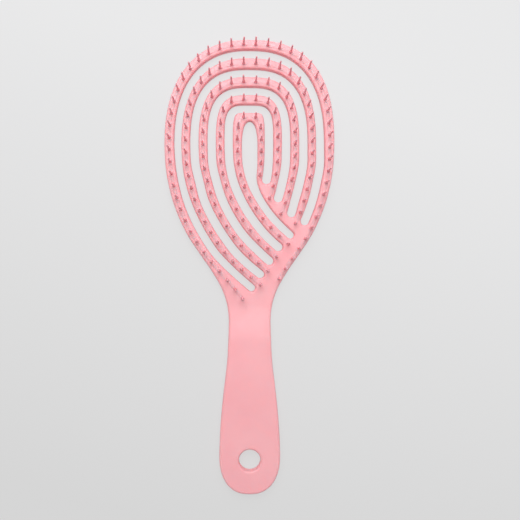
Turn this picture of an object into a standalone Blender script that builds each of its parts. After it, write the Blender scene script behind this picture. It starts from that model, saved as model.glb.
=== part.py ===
"""A flat detangling hair brush: five nested open loops of pins on a slim tapered handle.

The brush lies on its flat back with the pins pointing up.  X runs across the head, Y runs from
the butt of the handle to the crown of the head, and the origin is at the middle of the back.
"""
import bpy
import bmesh
import math
import numpy as np
from mathutils import Matrix

# Outer sizes of the brush, in metres
BRUSH_LENGTH = 0.2308
HEAD_WIDTH = 0.0867
WAIST_WIDTH = 0.0211
PALM_WIDTH = 0.0309
HEAD_THICKNESS = 0.0046
HANDLE_THICKNESS = 0.0060
PALM_CROWN = 0.0005
RIM_RADIUS = 0.0008
HANG_HOLE_DIAMETER = 0.0109

# Widths that the loops keep, with the innermost one at its side and at its crown, and how much
# wider the outermost one is
LOOP_WIDTH = 0.00445
INNER_LOOP_WIDTH = 0.0037
INNER_CROWN_WIDTH = 0.0042
OUTER_LOOP_EXTRA = 0.0006

# Pin strips, and the grooves that they sit in
STRIP_WIDTH = 0.0016
STRIP_HEIGHT = 0.0013
STRIP_PROUD = 0.0003
SEAT_GAP = 0.0003
PIN_LENGTH = 0.0122
PIN_ROOT_DEPTH = 0.0006
FOOT_RADIUS = 0.0009
FOOT_HEIGHT = 0.0012
SHAFT_RADIUS = 0.00055
TIP_RADIUS = 0.00038
TIP_HEIGHT = 0.0003
PIN_SIDES = 4
CROWN_LAND = 0.0007

# Where the main stations lie, as shares of the length from the crown down
WIDEST_SHARE = 0.2349
WAIST_SHARE = 0.6189
PALM_SHARE = 0.9131
HOLE_SHARE = 0.9255

CROWN_Y = BRUSH_LENGTH / 2
WIDEST_Y = CROWN_Y - WIDEST_SHARE * BRUSH_LENGTH
WAIST_Y = CROWN_Y - WAIST_SHARE * BRUSH_LENGTH
PALM_Y = CROWN_Y - PALM_SHARE * BRUSH_LENGTH
HOLE_Y = CROWN_Y - HOLE_SHARE * BRUSH_LENGTH
BUTT_Y = -BRUSH_LENGTH / 2
NECK_DROP = WIDEST_Y - WAIST_Y
CROWN_RISE = CROWN_Y - WIDEST_Y
HALF_HEAD = HEAD_WIDTH / 2
HALF_NEST = HALF_HEAD - OUTER_LOOP_EXTRA
HALF_WAIST = WAIST_WIDTH / 2
HALF_PALM = PALM_WIDTH / 2

# The side of the head from the widest level to the waist, as shares of the swell over the waist
LEVEL_SHARES = [0.0, 0.103, 0.206, 0.309, 0.411, 0.514, 0.617, 0.720, 0.823, 0.926, 1.0]
SIDE_SHARES = [1.0, 0.986, 0.945, 0.876, 0.774, 0.637, 0.453, 0.261, 0.104, 0.019, 0.0]

# How square the shoulders of the head are; the left one is a little rounder than the right
RIM_LEFT_POWER = 2.34
RIM_RIGHT_POWER = 2.60

# The handle from the waist to its widest place, as shares of the swell over the waist
GRIP_LEVEL_SHARES = [0.0, 0.17, 0.30, 0.40, 0.53, 0.71, 0.85, 1.0]
GRIP_SHARES = [0.0, 0.07, 0.17, 0.32, 0.54, 0.79, 0.92, 1.0]
BUTT_POWER = 2.35

# Middle lines of the four openings between the loops, outermost first.  The left and right
# limbs are shares of the nest's half width, which is the head's without the outermost loop's
# extra, at each level share below the widest level.
SLOT_RISE_SHARES = [0.868, 0.690, 0.520, 0.354]
SLOT_LEFT_POWERS = [2.40, 2.70, 3.20, 4.80]
SLOT_RIGHT_POWERS = [2.55, 2.80, 3.20, 4.80]
SLOT_LEFT_SHARES = [
    [-0.857, -0.843, -0.808, -0.750, -0.664, -0.549, -0.404, -0.196, 0.048, 0.300],
    [-0.660, -0.647, -0.599, -0.542, -0.444, -0.313, -0.150, 0.088, 0.382],
    [-0.454, -0.443, -0.394, -0.324, -0.217, -0.070, 0.140, 0.388],
    [-0.251, -0.238, -0.190, -0.100, 0.027, 0.200, 0.436],
]
SLOT_RIGHT_SHARES = [
    [0.845, 0.843, 0.804, 0.753, 0.674, 0.573, 0.433, 0.288, 0.170],
    [0.645, 0.640, 0.598, 0.541, 0.475, 0.345],
    [0.437, 0.429, 0.390, 0.330, 0.213],
    [0.231, 0.224, 0.193, 0.118],
]
CENTRE_SHARES = [0.0, 0.005, 0.031, 0.128, 0.280, 0.499, 0.754]
CENTRE_POWER = 2.3

# The slots and the central opening fill what the loops leave between them
OUTER_SLOT_HALF = SLOT_RIGHT_SHARES[0][0] * HALF_NEST
INNER_SLOT_HALF = SLOT_RIGHT_SHARES[-1][0] * HALF_NEST
INNER_SLOT_RISE = SLOT_RISE_SHARES[-1] * CROWN_RISE
SLOT_PITCH = (OUTER_SLOT_HALF - INNER_SLOT_HALF) / (len(SLOT_RIGHT_SHARES) - 1)
SLOT_WIDTH = SLOT_PITCH - LOOP_WIDTH
CENTRE_WIDTH = 2 * (INNER_SLOT_HALF - SLOT_WIDTH / 2 - INNER_LOOP_WIDTH)
CENTRE_RISE = INNER_SLOT_RISE - SLOT_WIDTH / 2 - INNER_CROWN_WIDTH

# How low each opening reaches on either side, as level shares
SLOT_LEFT_END_SHARES = [0.812, 0.734, 0.657, 0.577]
SLOT_RIGHT_END_SHARES = [0.428, 0.382, 0.296, 0.190]
CENTRE_END_SHARE = 0.508

# Widths of the openings from the crown to the lower end, as shares of their full width
WIDTH_LEVEL_SHARES = [-1.0, 0.0, 0.2, 0.4, 0.6, 0.8]
LEFT_WIDTH_SHARES = [[1.03, 0.85, 0.82, 0.92, 0.92, 0.85]] + [[0.98, 1.00, 1.02, 1.02, 1.00, 0.92]] * 3
RIGHT_WIDTH_SHARES = [[1.03, 1.00, 1.02, 1.00, 0.95, 0.90]] + [[0.98, 1.03, 1.05, 1.00, 0.95, 0.90]] * 3
CENTRE_LEVEL_SHARES = [0.0, 0.103, 0.206, 0.309, 0.411, 0.514]
CENTRE_WIDTH_SHARES = [1.0, 0.94, 0.62, 0.50, 0.49, 0.46]

# How low each row of pins reaches on either side, as level shares, and its pitch
ROW_LEFT_END_SHARES = [0.865, 0.790, 0.712, 0.632, 0.560]
ROW_RIGHT_END_SHARES = [0.752, 0.440, 0.385, 0.297, 0.170]
PIN_PITCH = 0.0062

# Where the front face rises from the head to the handle, as level shares
RISE_START_SHARE = 0.90
RISE_END_SHARE = 1.12
RISE_STEPS = 6
GRIP_STEPS = 9
CROWN_LINE_SHARES = [-0.62, -0.32, 0.0, 0.32, 0.62]

# Where the palm crown has faded out above the hang hole, as level shares of the handle
CROWN_FADE_START_SHARE = 0.35
CROWN_FADE_END_SHARE = 0.85

RIM_STATIONS = 120
SLOT_STATIONS = 50
CENTRE_STATIONS = 56
HOLE_STATIONS = 24
CAP_STATIONS = 4
TURN_LENGTH = 0.008
FINE_STATIONS = 240
STRIP_STEP = 0.0042
LEAST_STRIP_STATIONS = 20
WELD_DISTANCE = 0.00001

PINK_PLASTIC = (0.90, 0.42, 0.46, 1.0)
PIN_PLASTIC = (0.62, 0.24, 0.29, 1.0)


def smooth_value(at, known, values):
    """Read a smooth curve through the known values, running straight on past either end."""
    known = np.array(known[:len(values)], dtype=float)
    values = np.array(values, dtype=float)
    slopes = np.gradient(values, known)
    if at <= known[0]:
        return values[0] + slopes[0] * (at - known[0])
    if at >= known[-1]:
        return values[-1] + slopes[-1] * (at - known[-1])
    i = int(np.searchsorted(known, at)) - 1
    span = known[i + 1] - known[i]
    t = (at - known[i]) / span
    start = (1 + 2 * t) * (1 - t) ** 2 * values[i] + t * (1 - t) ** 2 * span * slopes[i]
    finish = t * t * (3 - 2 * t) * values[i + 1] + t * t * (t - 1) * span * slopes[i + 1]
    return start + finish


def arch_point(side, climb, half, rise, power):
    """A point on a squared-off arch, from its spring line at climb 0 to its crown at climb 1."""
    angle = climb * math.pi / 2
    across = max(math.cos(angle), 0.0) ** (2 / power)
    up = max(math.sin(angle), 0.0) ** (2 / power)
    return np.array([side * half * across, WIDEST_Y + rise * up])


def level_y(level):
    return WIDEST_Y - level * NECK_DROP


def side_half(level):
    """Half the width of the head at a level between its widest place and the waist."""
    return HALF_WAIST + (HALF_HEAD - HALF_WAIST) * smooth_value(level, LEVEL_SHARES, SIDE_SHARES)


def grip_half(y):
    """Half the width of the brush anywhere below the widest place of the head."""
    if y >= WAIST_Y:
        return side_half((WIDEST_Y - y) / NECK_DROP)
    if y >= PALM_Y:
        level = (WAIST_Y - y) / (WAIST_Y - PALM_Y)
        return HALF_WAIST + (HALF_PALM - HALF_WAIST) * smooth_value(level, GRIP_LEVEL_SHARES, GRIP_SHARES)
    drop = (PALM_Y - y) / (PALM_Y - BUTT_Y)
    return HALF_PALM * max(1 - drop ** BUTT_POWER, 0.0) ** (1 / BUTT_POWER)


def rim_point(side, climb):
    """The outline of the head: climb runs from 1 at the crown to 0, then down the side as -level."""
    if climb > 0:
        power = RIM_RIGHT_POWER if side > 0 else RIM_LEFT_POWER
        return arch_point(side, climb, HALF_HEAD, CROWN_RISE, power)
    return np.array([side * side_half(-climb), level_y(-climb)])


def slot_point(index, side, climb):
    """The middle line of an opening between two loops."""
    shares = SLOT_RIGHT_SHARES[index] if side > 0 else SLOT_LEFT_SHARES[index]
    if climb > 0:
        half = abs(shares[0]) * HALF_NEST
        power = SLOT_RIGHT_POWERS[index] if side > 0 else SLOT_LEFT_POWERS[index]
        return arch_point(side, climb, half, SLOT_RISE_SHARES[index] * CROWN_RISE, power)
    across = smooth_value(-climb, LEVEL_SHARES, shares)
    return np.array([across * HALF_NEST, level_y(-climb)])


def slot_half(index, side, climb):
    """Half the width of an opening, which narrows towards both of its ends."""
    shares = RIGHT_WIDTH_SHARES[index] if side > 0 else LEFT_WIDTH_SHARES[index]
    return smooth_value(-climb, WIDTH_LEVEL_SHARES, shares) * SLOT_WIDTH / 2


def edge_point(point_at, half_at, side, climb, outward):
    """A point beside a middle line, on its outer side when outward is 1 and inside when -1."""
    step = 0.004
    above = point_at(side, climb + step)
    below = point_at(side, climb - step)
    run = (above - below) / np.linalg.norm(above - below)
    normal = np.array([run[1], -run[0]]) * side
    return point_at(side, climb) + normal * outward * half_at(side, climb)


def slot_edge(index, side, climb, outward):
    def point_at(a_side, a_climb):
        if a_climb > 1:
            a_side, a_climb = -a_side, 2 - a_climb
        return slot_point(index, a_side, a_climb)

    def half_at(a_side, a_climb):
        return slot_half(index, a_side, a_climb)

    return edge_point(point_at, half_at, side, climb, outward)


def centre_point(side, climb):
    """The outline of the central opening: an arch that runs down into a slanting slot."""
    if climb > 0:
        return arch_point(side, climb, CENTRE_WIDTH / 2, CENTRE_RISE, CENTRE_POWER)
    step = 0.01
    here = smooth_value(-climb, LEVEL_SHARES, CENTRE_SHARES) * HALF_NEST
    below = smooth_value(-climb + step, LEVEL_SHARES, CENTRE_SHARES) * HALF_NEST
    run = np.array([below - here, -step * NECK_DROP])
    run = run / np.linalg.norm(run)
    half = smooth_value(-climb, CENTRE_LEVEL_SHARES, CENTRE_WIDTH_SHARES) * CENTRE_WIDTH / 2
    return np.array([here - run[1] * half * side, level_y(-climb) + run[0] * half * side])


def row_point(index, side, climb):
    """The middle of a loop, half way between the openings or the rim on its two sides."""
    outer = rim_point(side, climb) if index == 0 else slot_edge(index - 1, side, climb, -1)
    inner = centre_point(side, climb) if index == 4 else slot_edge(index, side, climb, 1)
    return (outer + inner) / 2


def stations_along(points, count):
    """Choose places along a line of points, closer together where the line bends."""
    points = np.array(points)
    runs = np.diff(points, axis=0)
    lengths = np.linalg.norm(runs, axis=1)
    headings = np.unwrap(np.arctan2(runs[:, 1], runs[:, 0]))
    turns = np.concatenate([[0.0], np.abs(np.diff(headings))])
    along = np.concatenate([[0.0], np.cumsum(lengths)])
    effort = np.concatenate([[0.0], np.cumsum(lengths + TURN_LENGTH * turns)])
    return along, np.interp(np.linspace(0.0, effort[-1], count), effort, along)


def evenly(points, count):
    """Put a number of points along a line of points, closer together where it bends."""
    points = np.array(points)
    along, places = stations_along(points, count)
    return np.column_stack([np.interp(places, along, points[:, 0]), np.interp(places, along, points[:, 1])])


def line_length(points):
    return float(np.linalg.norm(np.diff(np.array(points), axis=0), axis=1).sum())


def normals_of(points):
    """Unit normals, to the left of the way along a line of points."""
    runs = np.gradient(points, axis=0)
    runs = runs / np.linalg.norm(runs, axis=1)[:, None]
    return np.column_stack([-runs[:, 1], runs[:, 0]])


def round_end(centre, start, steps):
    """Points of a half circle about an end, turning clockwise from the starting arm."""
    points = []
    for step in range(1, steps):
        angle = -math.pi * step / steps
        turn = np.array([[math.cos(angle), -math.sin(angle)], [math.sin(angle), math.cos(angle)]])
        points.append(centre + turn @ start)
    return points


def ribbon(points, halves):
    """A closed band of varying width along a line of points, with rounded ends."""
    sides = normals_of(points)
    left = [p + n * h for p, n, h in zip(points, sides, halves)]
    right = [p - n * h for p, n, h in zip(points, sides, halves)]
    far = round_end(points[-1], left[-1] - points[-1], CAP_STATIONS)
    near = round_end(points[0], right[0] - points[0], CAP_STATIONS)
    return left + far + right[::-1] + near


def slot_outline(index):
    """The closed outline of an opening, from its left end over the crown to its right end."""
    climbs = [(-1, c) for c in np.linspace(-SLOT_LEFT_END_SHARES[index], 1.0, FINE_STATIONS)]
    climbs += [(1, c) for c in np.linspace(1.0, -SLOT_RIGHT_END_SHARES[index], FINE_STATIONS)]
    points = np.array([slot_point(index, side, climb) for side, climb in climbs])
    halves = np.array([slot_half(index, side, climb) for side, climb in climbs])
    along, places = stations_along(points, SLOT_STATIONS)
    return ribbon(evenly(points, SLOT_STATIONS), np.interp(places, along, halves))


def centre_outline():
    """The closed outline of the central opening and the slot that it runs down into."""
    left = [centre_point(-1, c) for c in np.linspace(-CENTRE_END_SHARE, 1.0, FINE_STATIONS)]
    right = [centre_point(1, c) for c in np.linspace(1.0, -CENTRE_END_SHARE, FINE_STATIONS)]
    around = evenly(left + right[1:], CENTRE_STATIONS)
    middle = (around[0] + around[-1]) / 2
    return list(around) + round_end(middle, around[-1] - middle, CAP_STATIONS)


def rim_outline():
    """The closed outline of the whole brush, clockwise from the crown."""
    halves = []
    for side in (1, -1):
        half = [rim_point(side, c) for c in np.linspace(1.0, -1.0, FINE_STATIONS)]
        half += [np.array([side * grip_half(y), y]) for y in np.linspace(WAIST_Y, PALM_Y, FINE_STATIONS)]
        for angle in np.linspace(0.0, math.pi / 2, FINE_STATIONS):
            across = math.cos(angle) ** (2 / BUTT_POWER) if angle < math.pi / 2 else 0.0
            down = math.sin(angle) ** (2 / BUTT_POWER)
            half.append(np.array([side * HALF_PALM * across, PALM_Y - (PALM_Y - BUTT_Y) * down]))
        halves.append(evenly(half, RIM_STATIONS // 2 + 1))
    right, left = halves
    return list(right) + list(left[::-1])[1:-1]


def row_line(index, side):
    """The run of one pin strip, from beside the crown down to its lower end."""
    end = ROW_LEFT_END_SHARES[index] if side < 0 else ROW_RIGHT_END_SHARES[index]
    fine = [row_point(index, side, c) for c in np.linspace(1.0, -end, FINE_STATIONS)]
    return np.array(fine)


def shorten(points, start, finish):
    """Cut a length off either end of a line of points."""
    total = line_length(points)
    along = np.concatenate([[0.0], np.cumsum(np.linalg.norm(np.diff(points, axis=0), axis=1))])
    places = np.linspace(start, total - finish, FINE_STATIONS)
    return np.column_stack([np.interp(places, along, points[:, 0]), np.interp(places, along, points[:, 1])])


def flat_solid(name, outlines, bottom, thickness, rim, collection):
    """A plate with rounded rims from closed outlines, whose inner ones become openings."""
    curve = bpy.data.curves.new(name + "_outline", "CURVE")
    curve.dimensions = "2D"
    curve.fill_mode = "BOTH"
    curve.extrude = thickness / 2 - rim
    curve.bevel_depth = rim
    curve.bevel_resolution = 0
    curve.offset = -rim
    for outline in outlines:
        spline = curve.splines.new("POLY")
        spline.points.add(len(outline) - 1)
        for point, place in zip(spline.points, outline):
            point.co = (place[0], place[1], 0.0, 1.0)
        spline.use_cyclic_u = True
    holder = bpy.data.objects.new(name + "_curve", curve)
    collection.objects.link(holder)
    holder.location.z = bottom + thickness / 2
    bpy.context.view_layer.update()
    evaluated = holder.evaluated_get(bpy.context.evaluated_depsgraph_get())
    mesh = bpy.data.meshes.new_from_object(evaluated)
    mesh.transform(holder.matrix_world)
    bpy.data.objects.remove(holder)
    shape = bmesh.new()
    shape.from_mesh(mesh)
    bmesh.ops.remove_doubles(shape, verts=shape.verts[:], dist=WELD_DISTANCE)
    bmesh.ops.recalc_face_normals(shape, faces=shape.faces[:])
    shape.to_mesh(mesh)
    shape.free()
    mesh.name = name
    solid = bpy.data.objects.new(name, mesh)
    collection.objects.link(solid)
    return solid


def front_rise(y):
    """How far the front face stands above the head's front at a place along the brush."""
    start = level_y(RISE_START_SHARE)
    end = level_y(RISE_END_SHARE)
    t = min(max((start - y) / (start - end), 0.0), 1.0)
    return (HANDLE_THICKNESS - HEAD_THICKNESS) * t * t * (3 - 2 * t)


def palm_crown(y):
    """How much higher the middle of the handle stands than its edges."""
    level = (WAIST_Y - y) / (WAIST_Y - PALM_Y)
    t = (level - CROWN_FADE_START_SHARE) / (CROWN_FADE_END_SHARE - CROWN_FADE_START_SHARE)
    t = min(max(t, 0.0), 1.0)
    rise = front_rise(y) / (HANDLE_THICKNESS - HEAD_THICKNESS)
    return PALM_CROWN * rise * (1 - t * t * (3 - 2 * t))


def raise_handle(solid):
    """Lift the front of the handle above the head, and crown it gently for the palm."""
    shape = bmesh.new()
    shape.from_mesh(solid.data)
    levels = list(np.linspace(level_y(RISE_START_SHARE), level_y(RISE_END_SHARE), RISE_STEPS + 1))
    levels += list(np.linspace(level_y(RISE_END_SHARE), PALM_Y, GRIP_STEPS + 1))[1:]
    for y in levels:
        everything = shape.verts[:] + shape.edges[:] + shape.faces[:]
        bmesh.ops.bisect_plane(shape, geom=everything, dist=WELD_DISTANCE, plane_co=(0, y, 0),
                               plane_no=(0, 1, 0))
    for share in CROWN_LINE_SHARES:
        front = [f for f in shape.faces if f.normal.z > 0.9 and f.calc_center_median().y < levels[1]]
        edges = {e for f in front for e in f.edges}
        verts = {v for f in front for v in f.verts}
        bmesh.ops.bisect_plane(shape, geom=list(verts) + list(edges) + front, dist=WELD_DISTANCE,
                               plane_co=(share * HALF_WAIST, 0, 0), plane_no=(1, 0, 0))
    bmesh.ops.triangulate(shape, faces=shape.faces[:])
    for vert in shape.verts:
        if vert.co.z < HEAD_THICKNESS / 2:
            continue
        lift = front_rise(vert.co.y)
        flat_half = grip_half(vert.co.y) - RIM_RADIUS
        if vert.co.z > HEAD_THICKNESS - WELD_DISTANCE and vert.co.y > PALM_Y:
            spread = min(abs(vert.co.x) / flat_half, 1.0)
            lift += palm_crown(vert.co.y) * (1 - spread * spread)
        vert.co.z += lift
    shape.to_mesh(solid.data)
    shape.free()


def pin_mesh():
    """One tapered pin with a wider foot and a blunt point, turned with four sides."""
    profile = [
        (0.0, -PIN_ROOT_DEPTH),
        (FOOT_RADIUS, -PIN_ROOT_DEPTH),
        (SHAFT_RADIUS, FOOT_HEIGHT),
        (TIP_RADIUS, PIN_LENGTH - TIP_HEIGHT),
        (0.0, PIN_LENGTH),
    ]
    shape = bmesh.new()
    points = [shape.verts.new((radius, 0.0, height)) for radius, height in profile]
    edges = [shape.edges.new(pair) for pair in zip(points, points[1:])]
    bmesh.ops.spin(shape, geom=points + edges, cent=(0, 0, 0), axis=(0, 0, 1), angle=2 * math.pi,
                   steps=PIN_SIDES, use_merge=True, dvec=(0, 0, 0))
    bmesh.ops.remove_doubles(shape, verts=shape.verts[:], dist=WELD_DISTANCE)
    bmesh.ops.recalc_face_normals(shape, faces=shape.faces[:])
    mesh = bpy.data.meshes.new("pin")
    shape.to_mesh(mesh)
    shape.free()
    return mesh


def plant_pins(name, line, pin, height, collection):
    """Stand pins at an even pitch along a strip, each turned square to it."""
    total = line_length(line)
    first = PIN_PITCH / 2 - CROWN_LAND - STRIP_WIDTH / 2 - SEAT_GAP
    count = int((total - first) / PIN_PITCH + 0.5) + 1
    places = np.linspace(first, total, count)
    along = np.concatenate([[0.0], np.cumsum(np.linalg.norm(np.diff(line, axis=0), axis=1))])
    shape = bmesh.new()
    for place in places:
        x = np.interp(place, along, line[:, 0])
        y = np.interp(place, along, line[:, 1])
        ahead = min(place + PIN_PITCH / 2, total)
        behind = max(place - PIN_PITCH / 2, 0.0)
        run_x = np.interp(ahead, along, line[:, 0]) - np.interp(behind, along, line[:, 0])
        run_y = np.interp(ahead, along, line[:, 1]) - np.interp(behind, along, line[:, 1])
        turn = Matrix.Rotation(math.atan2(run_y, run_x) + math.pi / 4, 4, "Z")
        copy = pin.copy()
        copy.transform(Matrix.Translation((x, y, height)) @ turn)
        shape.from_mesh(copy)
        bpy.data.meshes.remove(copy)
    mesh = bpy.data.meshes.new(name)
    shape.to_mesh(mesh)
    shape.free()
    pins = bpy.data.objects.new(name, mesh)
    collection.objects.link(pins)
    return pins, count


def combine(target, other, operation):
    """Cut or join another solid with a target, and keep that solid as a hidden tool."""
    change = target.modifiers.new(operation.lower() + "_" + other.name, "BOOLEAN")
    change.operation = operation
    change.solver = "EXACT"
    change.object = other
    other.hide_render = True
    other.display_type = "WIRE"


def plastic(name, colour, roughness):
    material = bpy.data.materials.new(name)
    material.use_nodes = True
    shader = material.node_tree.nodes["Principled BSDF"]
    shader.inputs["Base Color"].default_value = colour
    shader.inputs["Roughness"].default_value = roughness
    shader.inputs["Metallic"].default_value = 0.0
    return material


for old in list(bpy.data.objects):
    bpy.data.objects.remove(old)

parts = bpy.data.collections.new("detangling_brush")
tools = bpy.data.collections.new("cutters")
bpy.context.scene.collection.children.link(parts)
bpy.context.scene.collection.children.link(tools)

frame_plastic = plastic("frame_pink_plastic", PINK_PLASTIC, 0.38)
row_plastic = plastic("pin_rose_plastic", PIN_PLASTIC, 0.42)

# The moulded frame: one plate with rounded rims, five openings and the hang hole
hole = [
    np.array([HANG_HOLE_DIAMETER / 2 * math.cos(a), HOLE_Y + HANG_HOLE_DIAMETER / 2 * math.sin(a)])
    for a in np.linspace(0.0, 2 * math.pi, HOLE_STATIONS + 1)[:-1]
]
outlines = [rim_outline(), centre_outline(), hole] + [slot_outline(i) for i in range(4)]
frame = flat_solid("brush_frame", outlines, 0.0, HEAD_THICKNESS, RIM_RADIUS, parts)
raise_handle(frame)
frame.data.materials.append(frame_plastic)

# The pin strips, and the grooves along the fronts of the loops that they sit in
groove_half = STRIP_WIDTH / 2 + SEAT_GAP
strip_top = HEAD_THICKNESS + STRIP_PROUD
strip_bottom = strip_top - STRIP_HEIGHT
groove_bottom = strip_bottom - SEAT_GAP
groove_height = 2 * (HEAD_THICKNESS - groove_bottom)
grooves = []
pin = pin_mesh()
pin_total = 0
for index in range(5):
    for side, side_name in ((-1, "left"), (1, "right")):
        full_line = row_line(index, side)
        groove_line = shorten(full_line, CROWN_LAND + groove_half, 0.0)
        steps = max(int(line_length(groove_line) / STRIP_STEP), LEAST_STRIP_STATIONS)
        groove_line = evenly(groove_line, steps)
        grooves.append(ribbon(groove_line, [groove_half] * steps))
        outline = ribbon(groove_line, [STRIP_WIDTH / 2] * steps)
        name = "pins_loop_%d_%s" % (index + 1, side_name)
        strip = flat_solid(name, [outline], strip_bottom, STRIP_HEIGHT, 0.0, parts)
        pins, count = plant_pins(name + "_row", groove_line, pin, strip_top, tools)
        combine(strip, pins, "UNION")
        strip.data.materials.append(row_plastic)
        pin_total += count
        print(name, "length", round(line_length(groove_line), 4), "pins", count)
print("pins in all", pin_total)

groove_cutter = flat_solid("pin_grooves", grooves, groove_bottom, groove_height, 0.0, tools)
combine(frame, groove_cutter, "DIFFERENCE")
bpy.data.meshes.remove(pin)

for piece in parts.objects:
    piece.data.shade_smooth()
    piece.data.set_sharp_from_angle(angle=math.radians(35))
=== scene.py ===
# %% [markdown]
# # A hair brush with open loops
#
# The brush is a flat plastic detangler: five arched loops nest inside each other, a slanting
# spine gathers them, and a single file of slim pins runs along every loop.  A plain tapered
# handle ends in a hang hole.  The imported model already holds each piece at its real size, so
# this lesson remakes the same pieces with fine surfaces, plastic and light.  We start with the
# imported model, because every new piece has to sit exactly where the old one is.

import math

import bmesh
import bpy
import numpy as np
from mathutils import Matrix, Vector


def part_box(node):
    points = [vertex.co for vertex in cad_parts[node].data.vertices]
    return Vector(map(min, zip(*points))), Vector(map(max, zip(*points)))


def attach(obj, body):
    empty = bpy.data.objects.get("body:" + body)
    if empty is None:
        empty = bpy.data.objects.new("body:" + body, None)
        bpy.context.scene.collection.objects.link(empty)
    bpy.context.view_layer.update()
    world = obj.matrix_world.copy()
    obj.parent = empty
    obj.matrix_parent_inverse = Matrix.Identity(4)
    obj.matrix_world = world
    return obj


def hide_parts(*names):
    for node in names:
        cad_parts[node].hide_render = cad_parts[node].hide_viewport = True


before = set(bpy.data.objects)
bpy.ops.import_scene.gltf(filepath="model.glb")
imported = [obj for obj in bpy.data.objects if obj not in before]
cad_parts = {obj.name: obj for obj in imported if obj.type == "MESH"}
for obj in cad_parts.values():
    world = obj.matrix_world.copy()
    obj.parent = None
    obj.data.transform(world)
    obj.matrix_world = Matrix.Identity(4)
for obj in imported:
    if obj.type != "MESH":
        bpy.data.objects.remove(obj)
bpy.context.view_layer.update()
frame_low, frame_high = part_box("brush_frame")
strip_low, strip_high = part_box("pins_loop_1_left")


def size_in_mm(low, high):
    return [round(1000 * (b - a), 1) for a, b in zip(low, high)]


print("packed nodes:", sorted(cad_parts))
print("brush frame in mm:", size_in_mm(frame_low, frame_high))
print("outermost left strip in mm:", size_in_mm(strip_low, strip_high))

# %% [markdown]
# ## The camera
#
# The picture was taken from straight above the pins.  The outer pins lean outwards in it, which
# is perspective: their lean tells how far away the lens was, about 370 mm.  A real camera could
# be shifted or turned to place the brush off centre.  Turning it by about two degrees is simplest,
# and it keeps working when the camera is moved to look from another side.  Heights are counted
# from the flat back that the brush lies on, so the front of the loops is at HEAD_TOP.

# %% Camera above the pins
LENS_HEIGHT = 0.370
LENS_FOOT = (-0.0070, 0.0034)
AIM_POINT = (0.0052, 0.0034)
HEAD_TOP = 0.0046


def put_in_scene(piece):
    bpy.context.scene.collection.objects.link(piece)


camera_data = bpy.data.cameras.new("lens_above_pins")
camera_data.sensor_width = 36.0
camera_data.lens = 50.5
camera_data.clip_start = 0.01
camera_data.clip_end = 20.0
camera = bpy.data.objects.new("lens_above_pins", camera_data)
put_in_scene(camera)
camera.location = (LENS_FOOT[0], LENS_FOOT[1], HEAD_TOP + LENS_HEIGHT)
tilt = math.atan2(AIM_POINT[0] - LENS_FOOT[0], LENS_HEIGHT)
camera.rotation_euler = (0.0, -tilt, 0.0)
bpy.context.scene.camera = camera
print("camera tilt in degrees:", round(math.degrees(tilt), 2))

# %% [markdown]
# ## Sizes of the brush
#
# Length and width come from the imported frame, less a tenth of a millimetre on every side, which
# leaves room for the ridge of the parting line.  The main stations, from the widest level of the
# head to the hang hole, lie at shares of the length, so they follow if the brush is resized.  The
# outermost loop is a little wider than the others.  The head without that extra is called the
# nest here, and its half width is the measure that places the slots.

# %% Sizes and stations
EDGE_ROOM = 0.0002
WAIST_WIDTH = 0.0211
PALM_WIDTH = 0.0309
HANDLE_TOP = 0.0060
OUTER_LOOP_EXTRA = 0.0006
WIDEST_SHARE = 0.2349
WAIST_SHARE = 0.6189
PALM_SHARE = 0.9131
HOLE_SHARE = 0.9255

brush_length = frame_high.y - frame_low.y - EDGE_ROOM
head_width = frame_high.x - frame_low.x - EDGE_ROOM
CROWN_Y = brush_length / 2
WIDEST_Y = CROWN_Y - WIDEST_SHARE * brush_length
WAIST_Y = CROWN_Y - WAIST_SHARE * brush_length
PALM_Y = CROWN_Y - PALM_SHARE * brush_length
HOLE_Y = CROWN_Y - HOLE_SHARE * brush_length
BUTT_Y = -brush_length / 2
NECK_DROP = WIDEST_Y - WAIST_Y
CROWN_RISE = CROWN_Y - WIDEST_Y
HALF_HEAD = head_width / 2
HALF_NEST = HALF_HEAD - OUTER_LOOP_EXTRA
HALF_WAIST = WAIST_WIDTH / 2
HALF_PALM = PALM_WIDTH / 2
print("y in mm of the widest level and the waist:", round(1000 * WIDEST_Y, 1), round(1000 * WAIST_Y, 1))

# %% [markdown]
# ## Arches and smooth curves
#
# The head is widest about a quarter of the way down.  Above that level its outline and its loops
# are squared-off arches, which a superellipse draws with three numbers: half width, rise and
# power.  Below it the loops sweep to the right, and no simple formula follows them, so a smooth
# curve is read through a few shares, one for each level between the widest place and the waist.
# The outline, the slots and the handle all use the same helper.

# %% An arch and a curve through shares
LEVELS = [0.0, 0.103, 0.206, 0.309, 0.411, 0.514, 0.617, 0.720, 0.823, 0.926, 1.0]


def smooth_value(at, known, values):
    """Read a smooth curve through known values; it runs straight on past either end."""
    known = np.array(known[: len(values)], dtype=float)
    values = np.array(values, dtype=float)
    slopes = np.gradient(values, known)
    if at <= known[0]:
        return values[0] + slopes[0] * (at - known[0])
    if at >= known[-1]:
        return values[-1] + slopes[-1] * (at - known[-1])
    i = int(np.searchsorted(known, at)) - 1
    span = known[i + 1] - known[i]
    t = (at - known[i]) / span
    start = (1 + 2 * t) * (1 - t) ** 2 * values[i] + t * (1 - t) ** 2 * span * slopes[i]
    finish = t * t * (3 - 2 * t) * values[i + 1] + t * t * (t - 1) * span * slopes[i + 1]
    return start + finish


def arch_point(side, climb, half, rise, power):
    """A point on a squared-off arch: climb is 0 at its foot and 1 at its crown."""
    angle = climb * math.pi / 2
    across = max(math.cos(angle), 0.0) ** (2 / power)
    up = max(math.sin(angle), 0.0) ** (2 / power)
    return np.array([side * half * across, WIDEST_Y + rise * up])


def level_y(level):
    return WIDEST_Y - level * NECK_DROP


print("levels at y in mm:", [round(1000 * level_y(level), 1) for level in LEVELS])

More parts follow.
